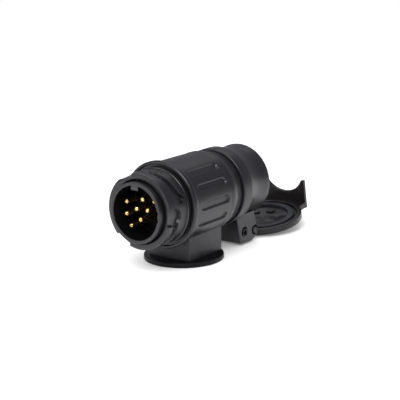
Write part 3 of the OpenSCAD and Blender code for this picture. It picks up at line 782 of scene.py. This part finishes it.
def makeCrossPins(setup):
    half = setup["halfLength"]
    y, z = barrelSetup["hinge"]
    rod = makeRod((-half, y, z), (half, y, z), barrelSetup["hingeRadius"] - 0.01, 64, setup["edge"], 3)
    finishPiece(placeMesh(rod, "hingePin"), "core", blackenedSteel, ["hinge_pin"])
    y, z = barrelSetup["tube"]
    outer, bore = barrelSetup["tubeRadius"] - 0.01, setup["tubeBore"]
    outline = [(bore, -half), (outer, -half), (outer, half), (bore, half)]
    tube = spinOutline(outline, 64, setup["edge"], (0, 1, 2, 3), 3, centre=(0, 0, 0))
    bmesh.ops.rotate(tube, cent=(0, 0, 0), matrix=Matrix.Rotation(math.pi / 2, 3, "Z"), verts=tube.verts[:])
    bmesh.ops.translate(tube, vec=(0, y, z), verts=tube.verts[:])
    finishPiece(placeMesh(tube, "crossTube"), "core", blackenedSteel, ["cross_tube"])


makeCrossPins(crossPinSetup)
print("barrel and cross pins made")

# contact block inside the socket
socketSetup = {
    "baseRadius": 18.25, "baseFrom": 38.0, "baseTo": 42.0, "island": 13.2, "islandEnd": 53.5, "contactRing": 9.2,
    "contactRadius": 2.75, "contactBore": 2.5, "contactFlange": 3.3, "contactFrom": 42.0, "contactEnd": 53.2,
    "tailRadius": 1.0, "tailEnd": 33.5, "flangeFrom": 38.05, "flangeTo": 39.5, "slitHalfWidth": 0.25,
    "screwX": 10.9, "screwHead": 1.9, "screwShank": 1.2, "screwFrom": 35.8, "screwSeat": 51.7, "driveFloor": 52.7,
    "driveHalfWidth": 0.3, "driveReach": 1.4,
}
waySpots = [(0.0, 0.0)] + [(socketSetup["contactRing"] * math.cos(math.radians(90 + 60 * i)),
                            socketSetup["contactRing"] * math.sin(math.radians(90 + 60 * i))) for i in range(6)]


def makeSocketBlock(setup):
    base, baseFrom, baseTo = setup["baseRadius"], setup["baseFrom"], setup["baseTo"]
    island, face, gap = setup["island"], setup["islandEnd"], 0.05
    outline = [(0, baseFrom), (base, baseFrom), (base, baseTo), (island, baseTo), (island, face), (0, face)]
    piece = placeMesh(spinOutline(outline, 200, 0.4, (2, 4), 4, closed=False), "socketBlock")
    tools, toolFrom, toolTo = [], baseFrom - 1, face + 1.5
    for x, z in waySpots:
        # the contact's hole, with a countersink at the face
        flange, hole, flangeTo = setup["contactFlange"] + gap, setup["contactRadius"] + gap, setup["flangeTo"] + gap
        outline = [(0, toolFrom), (flange, toolFrom), (flange, flangeTo), (hole, flangeTo), (hole, face - 0.35),
                   (hole + 0.45, face + 0.1), (hole + 0.45, face + 2), (0, face + 2)]
        tools.append(spinOutline(outline, 48, closed=False, centre=(x, 0, axisHeight + z)))
    shank, head, seatY = setup["screwShank"] + gap, setup["screwHead"] + gap, setup["screwSeat"]
    for x in (-setup["screwX"], setup["screwX"]):
        outline = [(0, toolFrom), (shank, toolFrom), (shank, seatY), (head, seatY), (head, toolTo), (0, toolTo)]
        tools.append(spinOutline(outline, 36, closed=False, centre=(x, 0, axisHeight)))
    combine(piece, tools)
    return finishPiece(piece, "core", plasticInsert, ["socket_block"])


makeSocketBlock(socketSetup)


def makeContact(index, spot, setup):
    outer, bore, tail, tailEnd = (setup[k] for k in ("contactRadius", "contactBore", "tailRadius", "tailEnd"))
    flange, flangeFrom, flangeTo = setup["contactFlange"], setup["flangeFrom"], setup["flangeTo"]
    boreFrom, end = setup["contactFrom"], setup["contactEnd"]
    outline = [(0, tailEnd), (tail, tailEnd), (tail, flangeFrom), (flange, flangeFrom), (flange, flangeTo),
               (outer, flangeTo), (outer, end), (bore, end), (bore, boreFrom), (0, boreFrom)]
    centre = (spot[0], 0, axisHeight + spot[1])
    piece = placeMesh(spinOutline(outline, 48, 0.09, (6, 7), 2, closed=False, centre=centre), f"socketContact{index}")
    slitHalf = setup["slitHalfWidth"]
    slit = makeBlock((spot[0] - slitHalf, boreFrom + 2, axisHeight + spot[1] + 1),
                     (spot[0] + slitHalf, 60, axisHeight + spot[1] + 5))
    combine(piece, [slit])
    return finishPiece(piece, "core", brass, [f"socket_contact_{index}"])


for index, spot in enumerate(waySpots, 1):
    makeContact(index, spot, socketSetup)


def makeBlockHardware(setup):
    # snap ring with a gap at the top
    ring = spinOutline([(17.5, 42.05), (18.9, 42.05), (18.9, 43.05), (17.5, 43.05)], 200, 0.15, (0, 1, 2, 3), 2)
    piece = placeMesh(ring, "blockRing")
    combine(piece, [makeBlock((-3.4, 40, axisHeight + 10), (3.4, 45, axisHeight + 25))])
    finishPiece(piece, "core", platedSteel, ["block_ring"])
    # two cross-head screws in one piece
    both = bmesh.new()
    head, shank, seatY, face = setup["screwHead"], setup["screwShank"], setup["screwSeat"], setup["islandEnd"]
    outline = [(0, setup["screwFrom"]), (shank, setup["screwFrom"]), (shank, seatY), (head, seatY),
               (head, face - 0.35), (1.2, face - 0.1), (0, face - 0.1)]
    for x in (-setup["screwX"], setup["screwX"]):
        screw = spinOutline(outline, 40, 0.15, (4,), 2, closed=False, centre=(x, 0, axisHeight))
        mesh = bpy.data.meshes.new("screw")
        screw.to_mesh(mesh)
        both.from_mesh(mesh)
        screw.free()
        bpy.data.meshes.remove(mesh)
    piece = placeMesh(both, "blockScrews")
    tools, thin, long, low = [], setup["driveHalfWidth"], setup["driveReach"], setup["driveFloor"]
    for x in (-setup["screwX"], setup["screwX"]):
        for wide, tall in ((thin, long), (long, thin)):
            tools.append(makeBlock((x - wide, low, axisHeight - tall), (x + wide, face + 1.5, axisHeight + tall)))
    combine(piece, tools)
    finishPiece(piece, "core", platedSteel, ["block_screws"])


makeBlockHardware(socketSetup)
print("socket contacts made")

# hinged lid with its claw
lidSetup = {
    "tilt": 9.8, "hinge": barrelSetup["hinge"], "radius": 24.4, "face": -3.55, "back": -7.3, "lipBore": 21.6,
    "floor": -5.4, "edge": 0.35, "dimple": 2.4, "dimpleDepth": 0.6, "plateFrom": 40.0, "halfWidth": 15.4,
    "clawY": 54.6, "clawThickness": 2.1, "clawTop": 10.6, "clawFoot": -7.6, "clawEdge": 0.5, "arcZ": 16.6,
    "arcRadius": 14.6, "knuckle": 4.2, "knuckleHalf": 6.3, "gasketOuter": 19.5, "gasketBore": 15.9,
    "gasketTop": -3.55, "sink": 0.03,
}
lidReach = axisHeight - lidSetup["hinge"][1]
lidTurn = (Matrix.Translation((0, lidSetup["hinge"][0], lidSetup["hinge"][1]))
           @ Matrix.Rotation(math.radians(lidSetup["tilt"]), 4, "X"))


def standUp(bm, y=0.0):
    # turns a shape spun about Y so that its axis is the lid's normal, at a distance from the hinge
    bmesh.ops.rotate(bm, cent=(0, 0, 0), matrix=Matrix.Rotation(math.pi / 2, 3, "X"), verts=bm.verts[:])
    bmesh.ops.translate(bm, vec=(0, y, 0), verts=bm.verts[:])
    return bm


def makeLid(setup):
    face, back, radius, half = setup["face"], setup["back"], setup["radius"], setup["halfWidth"]
    outline = [(0, back), (radius, back), (radius, face), (0, face)]
    disc = standUp(spinOutline(outline, 300, setup["edge"], (1, 2), 4, closed=False, centre=(0, 0, 0)), lidReach)
    piece = placeMesh(disc, "lidShell")

    # joined parts stand a hair inside one another's faces, so that no two faces share a plane
    sink = setup["sink"]
    plate = makeBlock((-half + sink, setup["plateFrom"], back + sink), (half - sink, setup["clawY"] + 1, face - sink))
    softenEdges(plate, 0.3, 3, 60, lambda e: abs(e.verts[0].co.y - e.verts[1].co.y) > 2)

    # claw: a wall across the end of the lid, with a round bite out of its top
    claw = makeBlock((-half, setup["clawY"], setup["clawFoot"]),
                     (half, setup["clawY"] + setup["clawThickness"], setup["clawTop"]))
    clawPiece = placeMesh(claw, "claw")
    clawY, arcZ = setup["clawY"], setup["arcZ"]
    combine(clawPiece, [makeRod((0, clawY - 2, arcZ), (0, clawY + 5, arcZ), setup["arcRadius"], 160)])
    claw = bmesh.new()
    claw.from_mesh(clawPiece.data)
    bmesh.ops.scale(claw, vec=(1 / millimetre,) * 3, verts=claw.verts[:])
    bpy.data.objects.remove(clawPiece)
    softenEdges(claw, setup["clawEdge"], 4, 30)

    knuckleHalf = setup["knuckleHalf"]
    knuckle = makeRod((-knuckleHalf, 0, 0), (knuckleHalf, 0, 0), setup["knuckle"], 72, 0.3, 3)
    web = extrudeOutline([(3.7, -1.8), (6.2, face - sink), (8, face - sink), (8, back + sink), (5.4, back + sink),
                          (1.2, -4), (0, 0.1)], -knuckleHalf + sink, knuckleHalf - sink)
    heel = extrudeOutline([(0, 4.1), (-1, 4.5), (-4.4, 4.5), (-5, 3.4), (-3, 0), (0, 0)],
                          -knuckleHalf + 2 * sink, knuckleHalf - 2 * sink)
    bmesh.ops.rotate(heel, cent=(0, 0, 0), matrix=Matrix.Rotation(math.radians(-setup["tilt"]), 3, "X"),
                     verts=heel.verts[:])
    combine(piece, [plate, claw, knuckle, web, heel], "UNION")

    floor, lip = setup["floor"], setup["lipBore"]
    well = [(0, floor), (lip, floor), (lip, face - 0.3), (lip + 0.35, face + 0.05), (lip + 0.35, 20), (0, 20)]
    tools = [standUp(spinOutline(well, 240, 0.25, (1,), 3, closed=False, centre=(0, 0, 0)), lidReach)]
    tools.append(makeRod((-10, 0, 0), (10, 0, 0), barrelSetup["hingeRadius"] + 0.05, 64))
    dimple, depth = setup["dimple"], setup["dimpleDepth"]
    for x, z in waySpots:
        outline = [(0, floor - depth), (dimple - 1.4, floor - 0.85 * depth), (dimple - 0.5, floor - 0.45 * depth),
                   (dimple, floor), (dimple + 0.3, floor + 0.1), (dimple + 0.3, floor + 1), (0, floor + 1)]
        spot = standUp(spinOutline(outline, 48, closed=False, centre=(0, 0, 0)), lidReach + z)
        bmesh.ops.translate(spot, vec=(x, 0, 0), verts=spot.verts[:])
        tools.append(spot)
    combine(piece, tools)
    turn = lidTurn.copy()
    turn.translation = lidTurn.translation * millimetre
    piece.data.transform(turn)
    return finishPiece(piece, "lid", plasticLid, ["lid"])


makeLid(lidSetup)


def makeGasket(setup):
    floor, top = setup["floor"], setup["gasketTop"]
    outline = [(setup["gasketBore"], floor), (setup["gasketOuter"], floor), (setup["gasketOuter"], top),
               (setup["gasketBore"], top)]
    bm = standUp(spinOutline(outline, 240, 0.4, (2, 3), 4, centre=(0, 0, 0)), lidReach)
    bmesh.ops.transform(bm, matrix=lidTurn, verts=bm.verts[:])
    return finishPiece(placeMesh(bm, "lidGasket"), "lid", rubberGasket, ["lid_gasket"])


makeGasket(lidSetup)
print("lid made")

# parts inside, which keep their own shape
insideFinishes = {
    "pin_retainer": plasticInsert, "contact_retainer": plasticInsert, "neck_seal": rubberSeal,
    "neck_gasket": rubberSeal, "neck_nut": platedSteel,
}
for nodeName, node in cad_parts.items():
    material = wireCoat if nodeName.startswith("jumper_wire") else insideFinishes.get(nodeName)
    if material:
        node.data.materials.clear()
        node.data.materials.append(material)
print("inner parts finished")

# floor and light
studioSetup = {
    "floorSize": 1.6, "floorTone": (0.86, 0.86, 0.86), "floorGlow": 0.14, "roomGlow": 0.95, "roomGloss": 0.34,
    "topLight": {"place": (-0.25, 0.35, 0.95), "size": (0.9, 0.9), "power": 2.5},
    "frontLight": {"place": (-0.55, -0.85, 0.55), "size": (0.6, 0.6), "power": 3.0},
    "edgeLight": {"place": (0.25, -0.55, 0.70), "size": (0.5, 0.5), "power": 6.0},
}


def addFloor(setup):
    bm = bmesh.new()
    bmesh.ops.create_grid(bm, x_segments=1, y_segments=1, size=setup["floorSize"] / 2)
    mesh = bpy.data.meshes.new("studioFloor")
    bm.to_mesh(mesh)
    bm.free()
    floor = bpy.data.objects.new("studioFloor", mesh)
    scene.collection.objects.link(floor)
    material, nodes, links = startMaterial("paleFloor")
    output = nodes.new("ShaderNodeOutputMaterial")
    output.label = "Finished floor"
    shader = nodes.new("ShaderNodeBsdfPrincipled")
    shader.label = "Pale board"
    shader.inputs["Roughness"].default_value = 0.9
    shader.inputs["Specular IOR Level"].default_value = 0.1
    shader.inputs["Base Color"].default_value = (*setup["floorTone"], 1)
    shader.inputs["Emission Color"].default_value = (1, 1, 1, 1)
    shader.inputs["Emission Strength"].default_value = setup["floorGlow"]
    shader.location, output.location = (0, 0), (300, 0)
    links.new(shader.outputs["BSDF"], output.inputs["Surface"])
    mesh.materials.append(material)


def addSoftbox(name, setup):
    data = bpy.data.lights.new(name, "AREA")
    data.shape, data.size, data.size_y = "RECTANGLE", setup["size"][0], setup["size"][1]
    data.energy = setup["power"]
    light = bpy.data.objects.new(name, data)
    light.location = setup["place"]
    aim = Vector((0, 0, 0.03)) - light.location
    light.rotation_euler = aim.to_track_quat("-Z", "Y").to_euler()
    light.visible_camera = False
    scene.collection.objects.link(light)


def addRoom(setup):
    # the room is white to look at, soft for fill, and dimmer in gloss
    world = bpy.data.worlds.new("studioRoom")
    world.use_nodes = True
    scene.world = world
    nodes, links = world.node_tree.nodes, world.node_tree.links
    nodes.clear()
    output = nodes.new("ShaderNodeOutputWorld")
    output.label = "Room"
    path = nodes.new("ShaderNodeLightPath")
    path.label = "What is looking"
    fill = nodes.new("ShaderNodeBackground")
    fill.label = "Soft fill"
    fill.inputs["Color"].default_value = (1.0, 1.0, 1.0, 1)
    fill.inputs["Strength"].default_value = setup["roomGlow"]
    gloss = nodes.new("ShaderNodeBackground")
    gloss.label = "Dim room in gloss"
    gloss.inputs["Color"].default_value = (0.96, 0.97, 1.06, 1)
    gloss.inputs["Strength"].default_value = setup["roomGloss"]
    backdrop = nodes.new("ShaderNodeBackground")
    backdrop.label = "White backdrop"
    backdrop.inputs["Color"].default_value = (1, 1, 1, 1)
    backdrop.inputs["Strength"].default_value = 1.0
    glossMix = nodes.new("ShaderNodeMixShader")
    glossMix.label = "Fill or gloss"
    backdropMix = nodes.new("ShaderNodeMixShader")
    backdropMix.label = "Room or backdrop"
    layOut([(path, fill, glossMix), (gloss, backdrop, backdropMix, output)], -600, 200)
    links.new(path.outputs["Is Glossy Ray"], glossMix.inputs[0])
    links.new(fill.outputs["Background"], glossMix.inputs[1])
    links.new(gloss.outputs["Background"], glossMix.inputs[2])
    links.new(path.outputs["Is Camera Ray"], backdropMix.inputs[0])
    links.new(glossMix.outputs["Shader"], backdropMix.inputs[1])
    links.new(backdrop.outputs["Background"], backdropMix.inputs[2])
    links.new(backdropMix.outputs["Shader"], output.inputs["Surface"])


addFloor(studioSetup)
addRoom(studioSetup)
for lightName in ("topLight", "frontLight", "edgeLight"):
    addSoftbox(lightName, studioSetup[lightName])
scene.view_settings.view_transform = "Standard"
print("studio set")
